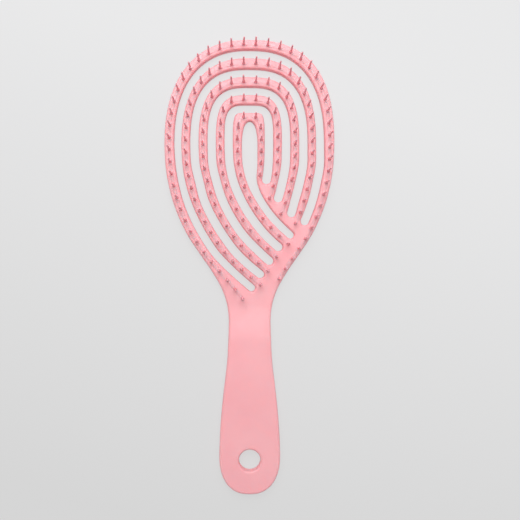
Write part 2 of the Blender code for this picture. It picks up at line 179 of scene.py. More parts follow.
# %% [markdown]
# ## The outline of the brush
#
# One closed line goes round the whole moulding: over the crown, down the shoulders to the waist,
# along the handle and round its butt.  Only the shoulders differ: the left one is a little rounder
# than the right, like the loops inside it.  So each half is drawn by the same rule, with its own
# power for the shoulder, and the two are joined at the crown and at the butt.

# %% One side of the outline, from crown to butt
SHOULDER_SHARES = [1.0, 0.986, 0.945, 0.876, 0.774, 0.637, 0.453, 0.261, 0.104, 0.019, 0.0]
GRIP_LEVELS = [0.0, 0.17, 0.30, 0.40, 0.53, 0.71, 0.85, 1.0]
GRIP_SHARES = [0.0, 0.07, 0.17, 0.32, 0.54, 0.79, 0.92, 1.0]
RIM_LEFT_POWER = 2.34
RIM_RIGHT_POWER = 2.60
BUTT_POWER = 2.35
FINE = 400


def half_width(y):
    """Half the width of the brush anywhere below the widest level of its head."""
    if y >= WAIST_Y:
        share = smooth_value((WIDEST_Y - y) / NECK_DROP, LEVELS, SHOULDER_SHARES)
        return HALF_WAIST + (HALF_HEAD - HALF_WAIST) * share
    if y >= PALM_Y:
        share = smooth_value((WAIST_Y - y) / (WAIST_Y - PALM_Y), GRIP_LEVELS, GRIP_SHARES)
        return HALF_WAIST + (HALF_PALM - HALF_WAIST) * share
    drop = min((PALM_Y - y) / (PALM_Y - BUTT_Y), 1.0)
    return HALF_PALM * max(1 - drop**BUTT_POWER, 0.0) ** (1 / BUTT_POWER)


def rim_point(side, climb):
    """The head's outline: climb is 1 at the crown, 0 at the widest level, then minus the level."""
    if climb > 0:
        power = RIM_RIGHT_POWER if side > 0 else RIM_LEFT_POWER
        return arch_point(side, climb, HALF_HEAD, CROWN_RISE, power)
    return np.array([side * half_width(level_y(-climb)), level_y(-climb)])


def outline_side(side):
    """One side of the brush as a fine line of points."""
    line = [rim_point(side, c) for c in np.linspace(1.0, -1.0, FINE)]
    line += [np.array([side * half_width(y), y]) for y in np.linspace(WAIST_Y, PALM_Y, FINE)[1:]]
    for angle in np.linspace(0.0, math.pi / 2, FINE)[1:]:
        across = side * max(math.cos(angle), 0.0) ** (2 / BUTT_POWER)
        down = math.sin(angle) ** (2 / BUTT_POWER)
        line.append(np.array([HALF_PALM * across, PALM_Y - (PALM_Y - BUTT_Y) * down]))
    line[-1][0] = 0.0
    return line


print("width in mm at waist and palm:", [round(2000 * half_width(y), 1) for y in (WAIST_Y, PALM_Y)])

# %% [markdown]
# The fine line has more points than the moulding needs, and they crowd where the formulas happen
# to put them.  So the line is walked again at an even effort, where a bend costs extra length:
# straight stretches of the handle then get fewer points, and tight bends get more.

# %% The whole outline at an even effort
BEND_LENGTH = 0.006
OUTLINE_POINTS = 460


def running_total(steps):
    return np.concatenate([[0.0], np.cumsum(steps)])


def points_at(places, along, points):
    """Points of a line at the given lengths along it."""
    return np.column_stack([np.interp(places, along, points[:, axis]) for axis in (0, 1)])


def evenly(points, count):
    """Spread points along a line of points, closer together where the line bends."""
    points = np.array(points)
    runs = np.diff(points, axis=0)
    lengths = np.linalg.norm(runs, axis=1)
    headings = np.unwrap(np.arctan2(runs[:, 1], runs[:, 0]))
    turns = np.concatenate([[0.0], np.abs(np.diff(headings))])
    along = running_total(lengths)
    effort = running_total(lengths + BEND_LENGTH * turns)
    places = np.interp(np.linspace(0.0, effort[-1], count), effort, along)
    return points_at(places, along, points), along, places


def brush_outline(count):
    right, left = [evenly(outline_side(side), count // 2 + 1)[0] for side in (1, -1)]
    return list(right) + list(left[::-1])[1:-1]


outline = brush_outline(OUTLINE_POINTS)
outline_steps = [np.linalg.norm(a - b) for a, b in zip(outline, outline[1:] + outline[:1])]
print("outline points:", len(outline), "length in mm:", round(1000 * sum(outline_steps)))

# %% [markdown]
# ## The openings between the loops
#
# It is easier to think of the holes than of the loops: four arched slots and one long opening in
# the middle, cut from a plate.  What is left between them are the five loops and the spine.  Each
# slot is described by its middle line, in shares of the nest's half width, and by its own width,
# which is least near its ends and, in the outermost slot, down its left limb.

# %% Middle lines and widths of the slots
SLOT_WIDTH = 0.0043
SLOT_RISES = [0.868, 0.690, 0.520, 0.354]
LEFT_POWERS = [2.40, 2.70, 3.20, 4.80]
RIGHT_POWERS = [2.55, 2.80, 3.20, 4.80]
SLOT_LEFT = [
    [-0.857, -0.843, -0.808, -0.750, -0.664, -0.549, -0.404, -0.196, 0.048, 0.300],
    [-0.660, -0.647, -0.599, -0.542, -0.444, -0.313, -0.150, 0.088, 0.382],
    [-0.454, -0.443, -0.394, -0.324, -0.217, -0.070, 0.140, 0.388],
    [-0.251, -0.238, -0.190, -0.100, 0.027, 0.200, 0.436],
]
SLOT_RIGHT = [
    [0.845, 0.843, 0.804, 0.753, 0.674, 0.573, 0.433, 0.288, 0.170],
    [0.645, 0.640, 0.598, 0.541, 0.475, 0.345],
    [0.437, 0.429, 0.390, 0.330, 0.213],
    [0.231, 0.224, 0.193, 0.118],
]
WIDTH_LEVELS = [-1.0, 0.0, 0.2, 0.4, 0.6, 0.8]
LEFT_WIDTHS = [[1.03, 0.85, 0.82, 0.92, 0.92, 0.85]] + [[0.98, 1.00, 1.02, 1.02, 1.00, 0.92]] * 3
RIGHT_WIDTHS = [[1.03, 1.00, 1.02, 1.00, 0.95, 0.90]] + [[0.98, 1.03, 1.05, 1.00, 0.95, 0.90]] * 3
LEFT_ENDS = [0.812, 0.734, 0.657, 0.577]
RIGHT_ENDS = [0.428, 0.382, 0.296, 0.190]
SLOTS = len(SLOT_RISES)
slot_tops = [round(1000 * (WIDEST_Y + rise * CROWN_RISE), 1) for rise in SLOT_RISES]
print("slots:", SLOTS, "their middle lines cross the crown at y in mm:", slot_tops)

# %% [markdown]
# Three short functions follow from these shares: a point of a slot's middle line, half its width
# there, and a point of its edge.  The edge is a step from the middle line at a right angle, and
# the direction of the line is read from two points close together.

# %% Points on the slots
CLIMB_STEP = 0.004


def slot_point(index, side, climb):
    """The middle line of a slot; past the crown it runs on down the other side."""
    if climb > 1:
        side, climb = -side, 2 - climb
    shares = SLOT_RIGHT[index] if side > 0 else SLOT_LEFT[index]
    if climb > 0:
        half = abs(shares[0]) * HALF_NEST
        power = RIGHT_POWERS[index] if side > 0 else LEFT_POWERS[index]
        return arch_point(side, climb, half, SLOT_RISES[index] * CROWN_RISE, power)
    return np.array([smooth_value(-climb, LEVELS, shares) * HALF_NEST, level_y(-climb)])


def slot_half(index, side, climb):
    shares = RIGHT_WIDTHS[index] if side > 0 else LEFT_WIDTHS[index]
    return smooth_value(-climb, WIDTH_LEVELS, shares) * SLOT_WIDTH / 2


def slot_edge(index, side, climb, outward):
    """A point on a slot's outer edge (outward 1) or on its inner edge (outward -1)."""
    run = slot_point(index, side, climb + CLIMB_STEP) - slot_point(index, side, climb - CLIMB_STEP)
    run = run / np.linalg.norm(run)
    across = np.array([run[1], -run[0]]) * side
    return slot_point(index, side, climb) + across * outward * slot_half(index, side, climb)


crown_widths = [round(2000 * slot_half(index, 1, 1.0), 2) for index in range(SLOTS)]
print("widths of the slots at the crown in mm:", crown_widths)

# %% [markdown]
# The middle opening is different: a narrow arch at the top turns into a slanting slot, which
# follows the spine down to the right.  It has its own half width, rise and power, and below its
# arch it has a middle line and a narrowing width, as the slots have.

# %% Edge of the middle opening
CENTRE_SHARES = [0.0, 0.005, 0.031, 0.128, 0.280, 0.499, 0.754]
CENTRE_WIDTHS = [1.0, 0.94, 0.62, 0.50, 0.49, 0.46]
CENTRE_END = 0.508
CENTRE_HALF = 0.00403
CENTRE_RISE = 0.01284
CENTRE_POWER = 2.3
LEVEL_STEP = 0.01


def centre_point(side, climb):
    """The edge of the middle opening: an arch above, then a slanting slot."""
    if climb > 0:
        return arch_point(side, climb, CENTRE_HALF, CENTRE_RISE, CENTRE_POWER)
    here = smooth_value(-climb, LEVELS, CENTRE_SHARES) * HALF_NEST
    below = smooth_value(-climb + LEVEL_STEP, LEVELS, CENTRE_SHARES) * HALF_NEST
    run = np.array([below - here, -LEVEL_STEP * NECK_DROP])
    run = run / np.linalg.norm(run)
    half = CENTRE_HALF * smooth_value(-climb, LEVELS, CENTRE_WIDTHS)
    return np.array([here - run[1] * half * side, level_y(-climb) + run[0] * half * side])


print("middle opening runs down to y =", round(1000 * level_y(CENTRE_END), 1), "mm")

# %% [markdown]
# A slot's closed outline is a ribbon: step off to both sides of the middle line by half the width,
# and close each end with a half circle.  The same ribbon later makes the slim beads that carry the
# pins, so it is worth writing once.

# %% Ribbons with round ends
CAP_STEPS = 14
SLOT_POINTS = 190
CENTRE_POINTS = 230
HOLE_POINTS = 96
HANG_HOLE_RADIUS = 0.00545


def half_turn(centre, arm, steps):
    turns = [-math.pi * step / steps for step in range(1, steps)]
    return [centre + np.array([arm[0] * math.cos(t) - arm[1] * math.sin(t),
                               arm[0] * math.sin(t) + arm[1] * math.cos(t)]) for t in turns]


def ribbon(points, halves, cap_steps):
    """A closed band along a line of points, as wide as its half widths say."""
    runs = np.gradient(points, axis=0)
    runs = runs / np.linalg.norm(runs, axis=1)[:, None]
    sides = np.column_stack([-runs[:, 1], runs[:, 0]]) * np.array(halves)[:, None]
    left, right = list(points + sides), list(points - sides)
    far = half_turn(points[-1], left[-1] - points[-1], cap_steps)
    near = half_turn(points[0], right[0] - points[0], cap_steps)
    return left + far + right[::-1] + near


def slot_outline(index):
    stops = [(-1, c) for c in np.linspace(-LEFT_ENDS[index], 1.0, FINE)]
    stops += [(1, c) for c in np.linspace(1.0, -RIGHT_ENDS[index], FINE)[1:]]
    middle = [slot_point(index, side, climb) for side, climb in stops]
    halves = [slot_half(index, side, climb) for side, climb in stops]
    even, along, places = evenly(middle, SLOT_POINTS)
    return ribbon(even, np.interp(places, along, halves), CAP_STEPS)


def centre_outline():
    left = [centre_point(-1, c) for c in np.linspace(-CENTRE_END, 1.0, FINE)]
    right = [centre_point(1, c) for c in np.linspace(1.0, -CENTRE_END, FINE)[1:]]
    around = evenly(left + right, CENTRE_POINTS)[0]
    middle = (around[0] + around[-1]) / 2
    return list(around) + half_turn(middle, around[-1] - middle, CAP_STEPS)


hang_hole = [np.array([HANG_HOLE_RADIUS * math.cos(a), HOLE_Y + HANG_HOLE_RADIUS * math.sin(a)])
             for a in np.linspace(0.0, 2 * math.pi, HOLE_POINTS + 1)[:-1]]
openings = [slot_outline(index) for index in range(SLOTS)] + [centre_outline(), hang_hole]
print("openings:", len(openings), "points round them:", sum(len(o) for o in openings))

# %% [markdown]
# ## Moulding the frame
#
# A flat moulding with holes is what Blender's 2D curves are made for: several closed lines in one
# curve fill into a plate with openings, extrude gives it thickness, and bevel rounds both rims.
# The bevel normally grows outwards, so an equal negative offset keeps the outline its true size.
# The loops are only about 4 mm wide, and their rims are rounded by more than a millimetre, which
# is what makes them look like soft bands and not like cut sheet.

# %% A rounded plate from closed lines
RIM_RADIUS = 0.0011
RIM_STEPS = 5
TOUCHING = 0.000002


def finished_mesh(piece):
    """The mesh that a curve, or an object with modifiers, comes to."""
    bpy.context.view_layer.update()
    graph = bpy.context.evaluated_depsgraph_get()
    return bpy.data.meshes.new_from_object(piece.evaluated_get(graph))


def rounded_plate(name, outlines, bottom, thickness, rim, rim_steps):
    """Fill closed lines into a plate with rounded rims, and return it as a mesh object."""
    curve = bpy.data.curves.new(name + "_lines", "CURVE")
    curve.dimensions = "2D"
    curve.fill_mode = "BOTH"
    curve.extrude = thickness / 2 - rim
    curve.bevel_depth = rim
    curve.bevel_resolution = rim_steps
    curve.offset = -rim
    for line in outlines:
        spline = curve.splines.new("POLY")
        spline.points.add(len(line) - 1)
        for point, place in zip(spline.points, line):
            point.co = (place[0], place[1], 0.0, 1.0)
        spline.use_cyclic_u = True
    holder = bpy.data.objects.new(name + "_lines", curve)
    put_in_scene(holder)
    holder.location.z = bottom + thickness / 2
    mesh = finished_mesh(holder)
    mesh.transform(holder.matrix_world)
    bpy.data.objects.remove(holder)
    mesh.name = name
    plate = bpy.data.objects.new(name, mesh)
    put_in_scene(plate)
    shape = bmesh.new()
    shape.from_mesh(mesh)
    bmesh.ops.remove_doubles(shape, verts=shape.verts[:], dist=TOUCHING)
    bmesh.ops.recalc_face_normals(shape, faces=shape.faces[:])
    shape.to_mesh(mesh)
    shape.free()
    return plate


moulding = rounded_plate("frame_moulding", [outline] + openings, 0.0, HEAD_TOP, RIM_RADIUS, RIM_STEPS)
print("faces in the moulding:", len(moulding.data.polygons))

# %% [markdown]
# ## A thicker handle
#
# The handle is thicker than the head and a little fuller down its middle, so that it fills the
# palm.  It could be shaped by hand, but a rule is easier to change: it says how far each place on
# the front rises.  The rise eases in over the neck, and the fuller middle fades out before the
# hang hole.

# %% How far the front rises
RISE_START = level_y(0.90)
RISE_END = level_y(1.12)
PALM_CROWN = 0.0005
FADE_START = 0.35
FADE_LENGTH = 0.50


def ease(t):
    t = min(max(t, 0.0), 1.0)
    return t * t * (3 - 2 * t)


def front_lift(x, y, on_face):
    """How far a point of the front rises; only the flat face itself gets the fuller middle."""
    rise = ease((RISE_START - y) / (RISE_START - RISE_END))
    lift = (HANDLE_TOP - HEAD_TOP) * rise
    if on_face and y > PALM_Y:
        spread = min(abs(x) / (half_width(y) - RIM_RADIUS), 1.0)
        fade = 1 - ease(((WAIST_Y - y) / (WAIST_Y - PALM_Y) - FADE_START) / FADE_LENGTH)
        lift += PALM_CROWN * rise * fade * (1 - spread * spread)
    return lift


middle_lifts = [round(1000 * front_lift(0.0, y, True), 2) for y in (WAIST_Y, PALM_Y)]
print("the front's middle rises in mm, at waist and palm:", middle_lifts)

# %% [markdown]
# A flat face has no points inside it to lift, so the handle is first sliced with a grid of planes.
# Then every point on the front rises by the rule.  The back stays flat, because the brush lies on
# it.

# %% Slice the handle and lift its front
RISE_SLICES = 25
GRIP_SLICES = 30
SLICES_ACROSS = 19
SLICE_REACH = 0.0135
CUT_TOLERANCE = 0.000001
FACING_UP = 0.99
MIDDLE = HEAD_TOP / 2


def slice_faces(shape, chosen, place, across):
    verts = {v for f in chosen for v in f.verts}
    edges = {e for f in chosen for e in f.edges}
    bmesh.ops.bisect_plane(shape, geom=list(verts) + list(edges) + chosen, dist=CUT_TOLERANCE,
                           plane_co=place, plane_no=across)


def on_handle_front(face):
    return face.normal.z > FACING_UP and PALM_Y < face.calc_center_median().y < RISE_START


shape = bmesh.new()
shape.from_mesh(moulding.data)
rise_cuts = list(np.linspace(RISE_START, RISE_END, RISE_SLICES))
grip_cuts = list(np.linspace(RISE_END, PALM_Y, GRIP_SLICES))[1:]
for y in rise_cuts + grip_cuts:
    slice_faces(shape, shape.faces[:], (0, y, 0), (0, 1, 0))
for x in np.linspace(-SLICE_REACH, SLICE_REACH, SLICES_ACROSS):
    front = [f for f in shape.faces if on_handle_front(f)]
    slice_faces(shape, front, (x, 0, 0), (1, 0, 0))
bmesh.ops.triangulate(shape, faces=[f for f in shape.faces if len(f.verts) > 4])
for vert in shape.verts:
    if vert.co.z > MIDDLE:
        vert.co.z += front_lift(vert.co.x, vert.co.y, vert.co.z > HEAD_TOP - CUT_TOLERANCE)
shape.to_mesh(moulding.data)
shape.free()
print("handle sliced, faces now:", len(moulding.data.polygons))

# %% [markdown]
# ## The parting line
#
# A moulding of this kind closes between two halves of a tool, and the joint leaves a hairline
# ridge round its edge.  It could be drawn with a bump, but the ridge is a shape that catches
# light from the side, so we make it: cut the side walls at mid height and pull that ring of
# points outwards by a twentieth of a millimetre.

# %% Pull out the parting line
RIDGE_HALF = 0.00012
RIDGE_OUT = 0.00005
WALL_SLOPE = 0.05
shape = bmesh.new()
shape.from_mesh(moulding.data)
for z in (MIDDLE - RIDGE_HALF, MIDDLE, MIDDLE + RIDGE_HALF):
    walls = [f for f in shape.faces if abs(f.normal.z) < WALL_SLOPE]
    slice_faces(shape, walls, (0, 0, z), (0, 0, 1))
shape.normal_update()
ridge = [v for v in shape.verts if abs(v.co.z - MIDDLE) < TOUCHING]
for vert in ridge:
    out = Vector((vert.normal.x, vert.normal.y, 0.0)).normalized()
    vert.co += out * RIDGE_OUT
shape.to_mesh(moulding.data)
shape.free()
print("points on the parting line:", len(ridge))

# %% [markdown]
# ## Smooth light over flat faces
#
# Smooth shading averages the directions of neighbouring faces, and beside a rounded rim that bends
# the light on the flat face too.  We give the points of the flat front and back their true
# direction, straight up or down, and leave the average only where the surface really turns.

# %% Set the directions of the flat faces
DOWN, UP = -1.0, 1.0


def steady_flats(piece, flat_levels):
    mesh = piece.data
    mesh.shade_smooth()
    directions = [tuple(n.vector) for n in mesh.vertex_normals]
    steadied = 0
    for i, vert in enumerate(mesh.vertices):
        for level, facing in flat_levels:
            if abs(vert.co.z - level) < TOUCHING:
                directions[i] = (0.0, 0.0, facing)
                steadied += 1
    mesh.normals_split_custom_set_from_vertices(directions)
    return steadied


flat_points = steady_flats(moulding, [(0.0, DOWN), (HEAD_TOP, UP), (HANDLE_TOP, UP)])
print("flat points:", flat_points)

# %% [markdown]
# ## Rows of pins
#
# Every loop carries one file of pins down its middle.  The middle of a loop is half way between
# the edges on its two sides, so the rows need no curves of their own, only the level at which
# each one ends.  Each row is split at the crown into a left and a right run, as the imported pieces
# are, and a seat gap and a little land of the loop are left between the two.

# %% Lines that the pins stand on
LEFT_ROW_ENDS = [0.865, 0.790, 0.712, 0.632, 0.560]
RIGHT_ROW_ENDS = [0.752, 0.440, 0.385, 0.297, 0.170]
LOOPS = SLOTS + 1
PIN_PITCH = 0.0062
CROWN_LAND = 0.0007
BEAD_HALF = 0.0008
SEAT_GAP = 0.0003
CROWN_GAP = CROWN_LAND + BEAD_HALF + SEAT_GAP


def lengths_along(points):
    """How far along a line each of its points lies."""
    return running_total(np.linalg.norm(np.diff(points, axis=0), axis=1))


def row_line(index, side):
    """The middle of a loop from beside the crown down to the end of its row."""
    outermost, innermost = index == 0, index == LOOPS - 1
    end = RIGHT_ROW_ENDS[index] if side > 0 else LEFT_ROW_ENDS[index]
    points = []
    for climb in np.linspace(1.0, -end, FINE):
        outer = rim_point(side, climb) if outermost else slot_edge(index - 1, side, climb, -1)
        inner = centre_point(side, climb) if innermost else slot_edge(index, side, climb, 1)
        points.append((outer + inner) / 2)
    points = np.array(points)
    along = lengths_along(points)
    return points_at(np.linspace(CROWN_GAP, along[-1], FINE), along, points)


def pin_places(line):
    """Pins at an even spacing close to the pitch; the first is half a pitch from the crown."""
    along = lengths_along(line)
    first = PIN_PITCH / 2 - CROWN_GAP
    count = int((along[-1] - first) / PIN_PITCH + 0.5) + 1
    return points_at(np.linspace(first, along[-1], count), along, line)


rows = {(index, side): row_line(index, side) for index in range(LOOPS) for side in (-1, 1)}
print("rows:", len(rows), "pins:", sum(len(pin_places(line)) for line in rows.values()))

# %% [markdown]
# ## One pin
#
# A pin is a turned shape: a flared foot that runs into a slim taper with a blunt, rounded tip that
# is kind to the scalp.  A cone would do from far away, but the flare is what shows from above as
# a dark dot round every pin.  So we draw half of its outline and spin it round the axis.

# %% Spin the outline of a pin
BEAD_PROUD = 0.00012
TIP_ROOM = 0.0001
PIN_SIDES = 14
ROOT_DEPTH = 0.0004
ROOT_RADIUS = 0.00088
FOOT_FLARE = [(0.00080, 0.00018), (0.00070, 0.00045), (0.00062, 0.00080), (0.00057, 0.00120)]
SHAFT_RADIUS = 0.00050
TIP_RADIUS = 0.00040
TIP_TURN = 1.25
TIP_POINTS = 4
PIN_WELD = 0.000005
pin_base = HEAD_TOP + BEAD_PROUD
pin_height = strip_high.z - pin_base - TIP_ROOM


def pin_profile():
    """Half of a pin's outline, as radius and height, from the root in its bead to the tip."""
    root = [(0.0, -ROOT_DEPTH), (ROOT_RADIUS, -ROOT_DEPTH), (ROOT_RADIUS, 0.0)]
    shaft = [(SHAFT_RADIUS, 0.5 * pin_height)]
    dome = [(TIP_RADIUS * math.cos(a), pin_height - TIP_RADIUS + TIP_RADIUS * math.sin(a))
            for a in np.linspace(0.0, TIP_TURN, TIP_POINTS)]
    return root + FOOT_FLARE + shaft + dome + [(0.0, pin_height)]


shape = bmesh.new()
points = [shape.verts.new((radius, 0.0, height)) for radius, height in pin_profile()]
edges = [shape.edges.new(pair) for pair in zip(points, points[1:])]
bmesh.ops.spin(shape, geom=points + edges, cent=(0, 0, 0), axis=(0, 0, 1), dvec=(0, 0, 0),
               angle=2 * math.pi, steps=PIN_SIDES, use_merge=True)
bmesh.ops.remove_doubles(shape, verts=shape.verts[:], dist=PIN_WELD)
bmesh.ops.recalc_face_normals(shape, faces=shape.faces[:])
pin_mesh = bpy.data.meshes.new("one_pin")
shape.to_mesh(pin_mesh)
shape.free()
print("one pin: height in mm", round(1000 * pin_height, 2), "faces", len(pin_mesh.polygons))

# %% [markdown]
# ## Strips of pins
#
# The pins of a row are copies of the one pin.  No two moulded pins stand quite alike, so each
# leans by up to a degree about two axes.  The leans come from a fixed seed, so that every pin
# leans the same way each time the brush is made.

# %% Pins that lean a little
LEAN_SEED = 7
LEAN_LIMIT = 1.0
random_lean = np.random.default_rng(LEAN_SEED)


def leaning_pins(name, line):
    """Copies of the one pin along a row, each leaning its own way, as one object."""
    shape = bmesh.new()
    for x, y in pin_places(line):
        lean_x, lean_y = np.radians(random_lean.uniform(-LEAN_LIMIT, LEAN_LIMIT, 2))
        lean = Matrix.Rotation(lean_x, 4, "X") @ Matrix.Rotation(lean_y, 4, "Y")
        pin = pin_mesh.copy()
        pin.transform(Matrix.Translation((x, y, pin_base)) @ lean)
        shape.from_mesh(pin)
        bpy.data.meshes.remove(pin)
    pins = bpy.data.objects.new(name, bpy.data.meshes.new(name))
    shape.to_mesh(pins.data)
    shape.free()
    put_in_scene(pins)
    return pins


print("each pin leans by up to", LEAN_LIMIT, "degree about two axes")

# %% [markdown]
# The pins are moulded onto a slim bead that is let into the loop, and only the top of the bead
# shows, about a tenth of a millimetre proud.  The bead is another ribbon.  Pins that only pass
# through it would do for a picture, but a union makes one closed body of them.

# %% Make the ten strips
BEAD_DEPTH = 0.0006
BEAD_RIM = 0.0001
BEAD_RIM_STEPS = 2
BEAD_POINTS = 80
BEAD_CAP_STEPS = 8
SHARP_ANGLE = math.radians(50)


def pin_strip(name, line):
    """A bead along a row with its pins joined on."""
    even = evenly(line, BEAD_POINTS)[0]
    band = ribbon(even, [BEAD_HALF] * len(even), BEAD_CAP_STEPS)
    bead = rounded_plate(name, [band], HEAD_TOP - BEAD_DEPTH, BEAD_DEPTH + BEAD_PROUD,
                         BEAD_RIM, BEAD_RIM_STEPS)
    pins = leaning_pins(name + "_pins", line)
    join = bead.modifiers.new("join_pins", "BOOLEAN")
    join.operation = "UNION"
    join.object = pins
    joined = finished_mesh(bead)
    bead.modifiers.clear()
    bead.data = joined
    bpy.data.objects.remove(pins)
    joined.shade_smooth()
    joined.set_sharp_from_angle(angle=SHARP_ANGLE)
    return bead


strips = {}
for (index, side), line in rows.items():
    side_name = "left" if side < 0 else "right"
    strips[(index, side)] = pin_strip("row_%d_%s" % (index + 1, side_name), line)
bpy.data.meshes.remove(pin_mesh)
print("strips:", len(strips), "faces in all:", sum(len(s.data.polygons) for s in strips.values()))

# %% [markdown]
# ## Pink plastic
#
# The frame is one soft pink plastic with a satin sheen.  A single flat colour would look like a
# drawing, so its finish is a small web of nodes.  Three kinds are needed more than once, and each
# gets a short helper: a cloudy pattern, a range of values stretched over another, and a ramp
# between two tones.

# %% Clouds, ranges and ramps
PINK_LIGHT = (0.955, 0.465, 0.496, 1)
PINK_DEEP = (0.915, 0.415, 0.453, 1)


def node_link(tree, a, out, b, into):
    tree.links.new(a.outputs[out], b.inputs[into])


def clouds(tree, scale, detail, roughness=0.5):
    texture = tree.nodes.new("ShaderNodeTexNoise")
    texture.inputs["Scale"].default_value = scale
    texture.inputs["Detail"].default_value = detail
    texture.inputs["Roughness"].default_value = roughness
    return texture


def stretch(tree, low, high, to_low=0.0, to_high=1.0):
    """Stretch the values between low and high over a new range."""
    stretched = tree.nodes.new("ShaderNodeMapRange")
    stretched.inputs["From Min"].default_value = low
    stretched.inputs["From Max"].default_value = high
    stretched.inputs["To Min"].default_value = to_low
    stretched.inputs["To Max"].default_value = to_high
    return stretched


def two_tones(tree, first, last, start=0.0, stop=1.0):
    """A ramp from one tone to another."""
    ramp = tree.nodes.new("ShaderNodeValToRGB")
    ramp.color_ramp.elements[0].position = start
    ramp.color_ramp.elements[0].color = first
    ramp.color_ramp.elements[1].position = stop
    ramp.color_ramp.elements[1].color = last
    return ramp


print("pinks, light and deep:", PINK_LIGHT[:3], PINK_DEEP[:3])

# %% [markdown]
# Three quiet variations are laid over the plastic: broad clouds where the melt flowed, a fine
# grain that the tool leaves in the skin, and patches of handling that change how sharply it
# shines.  A little light also passes under the surface, which softens the thin loops.

# %% Make the frame's plastic
LIGHT_REACH = (1.0, 0.45, 0.4)
LIGHT_DEPTH = 0.0016


def satin_plastic(name, light_tone, deep_tone, sheen_low, sheen_high, glow_through):
    """A moulded plastic with flow clouds, a fine grain and patches of handling."""
    material = bpy.data.materials.new(name)
    material.use_nodes = True
    tree = material.node_tree
    shader = tree.nodes["Principled BSDF"]
    place = tree.nodes.new("ShaderNodeTexCoord")
    flow = clouds(tree, scale=38.0, detail=3.0)
    tones = two_tones(tree, deep_tone, light_tone, start=0.30, stop=0.72)
    handling = clouds(tree, scale=110.0, detail=5.0, roughness=0.62)
    shine = stretch(tree, low=0.35, high=0.68, to_low=sheen_low, to_high=sheen_high)
    grain = clouds(tree, scale=2600.0, detail=2.0)
    skin = tree.nodes.new("ShaderNodeBump")
    skin.inputs["Strength"].default_value = 0.22
    skin.inputs["Distance"].default_value = 0.00004
    for texture in (flow, handling, grain):
        node_link(tree, place, "Object", texture, "Vector")
    node_link(tree, flow, "Fac", tones, "Fac")
    node_link(tree, tones, "Color", shader, "Base Color")
    node_link(tree, handling, "Fac", shine, "Value")
    node_link(tree, shine, "Result", shader, "Roughness")
    node_link(tree, grain, "Fac", skin, "Height")
    node_link(tree, skin, "Normal", shader, "Normal")
    shader.inputs["Subsurface Weight"].default_value = glow_through
    shader.inputs["Subsurface Radius"].default_value = LIGHT_REACH
    shader.inputs["Subsurface Scale"].default_value = LIGHT_DEPTH
    shader.inputs["IOR"].default_value = 1.49
    return material


frame_plastic = satin_plastic("pink_frame_plastic", PINK_LIGHT, PINK_DEEP,
                              sheen_low=0.36, sheen_high=0.50, glow_through=0.45)
print("plastic:", frame_plastic.name, "nodes:", len(frame_plastic.node_tree.nodes))

# %% [markdown]
# The beads have the frame's own pink.  The pins are the same plastic and look deeper only because
# they are thin, steep and packed with shade, so their deeper rose is painted shade.  One material
# can do both: it reads how high each point lies and fades from a pink half way between the frame's
# two tones to the pins' painted shade, within the first fifth of a millimetre over the bead.

# %% Make the pins' plastic with its painted shade, and fade it into the bead
# The pins are moulded in the frame's pink; these deeper rose tones are painted shade for their thin,
# steep sides.
PINS_PAINTED_SHADE_LIGHT = (0.905, 0.425, 0.480, 1)
PINS_PAINTED_SHADE_DEEP = (0.850, 0.375, 0.430, 1)
BEAD_PINK = (0.935, 0.440, 0.475, 1)
FADE_LOW = HEAD_TOP + 0.00010
FADE_HIGH = HEAD_TOP + 0.00030
FIRST_COLOUR, SECOND_COLOUR = 6, 7
MIXED_COLOUR = 2


def fade_to_bead(material, bead_tone, low, high):
    """Mix the bead's tone in below a height; the mix node's colour sockets go by number."""
    tree = material.node_tree
    shader = tree.nodes["Principled BSDF"]
    tones = shader.inputs["Base Color"].links[0].from_node
    place = next(n for n in tree.nodes if n.type == "TEX_COORD")
    split = tree.nodes.new("ShaderNodeSeparateXYZ")
    height = stretch(tree, low, high)
    mix = tree.nodes.new("ShaderNodeMix")
    mix.data_type = "RGBA"
    mix.inputs[FIRST_COLOUR].default_value = bead_tone
    node_link(tree, place, "Object", split, "Vector")
    node_link(tree, split, "Z", height, "Value")
    node_link(tree, height, "Result", mix, "Factor")
    node_link(tree, tones, "Color", mix, SECOND_COLOUR)
    node_link(tree, mix, MIXED_COLOUR, shader, "Base Color")


# The pins' plastic carries painted shade: its deeper rose stands in for the shade on the pins.
pins_plastic_painted_shade = satin_plastic("pins_painted_shade_plastic", PINS_PAINTED_SHADE_LIGHT, PINS_PAINTED_SHADE_DEEP,
                            sheen_low=0.34, sheen_high=0.46, glow_through=0.60)
fade_to_bead(pins_plastic_painted_shade, BEAD_PINK, FADE_LOW, FADE_HIGH)
print("plastic:", pins_plastic_painted_shade.name, "fades over mm:", round(1000 * (FADE_HIGH - FADE_LOW), 2))

# %% [markdown]
# ## Put each piece in its place
#
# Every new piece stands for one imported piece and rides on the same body, so that whatever moves
# the brush moves its looks too.  The whole brush is one body: its loops and pins flex, but
# nothing on it turns or slides.

# %% Ride, replace and finish the pieces
def coat(piece, plastic):
    piece.data.materials.clear()
    piece.data.materials.append(plastic)


coat(moulding, frame_plastic)
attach(moulding, "root")
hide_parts("brush_frame")
for (index, side), strip in strips.items():
    coat(strip, pins_plastic_painted_shade)
    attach(strip, "root")
    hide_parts("pins_loop_%d_%s" % (index + 1, "left" if side < 0 else "right"))
print("pieces riding:", 1 + len(strips))

# %% [markdown]
# ## The floor
#
# The brush lies on a plain floor.  The floor is wide, so that its far edge is a level line in views
# from the side, and it lies just under the brush, because two faces in one place would flicker.

# %% A wide floor
FLOOR_REACH = 12.0
FLOOR_DROP = 0.0002

floor_mesh = bpy.data.meshes.new("pale_floor")
shape = bmesh.new()
bmesh.ops.create_grid(shape, x_segments=1, y_segments=1, size=FLOOR_REACH)
shape.to_mesh(floor_mesh)
shape.free()
floor = bpy.data.objects.new("pale_floor", floor_mesh)
floor.location.z = -FLOOR_DROP
put_in_scene(floor)
print("floor reaches each way, in metres:", round(max(v.co.x for v in floor_mesh.vertices), 1))
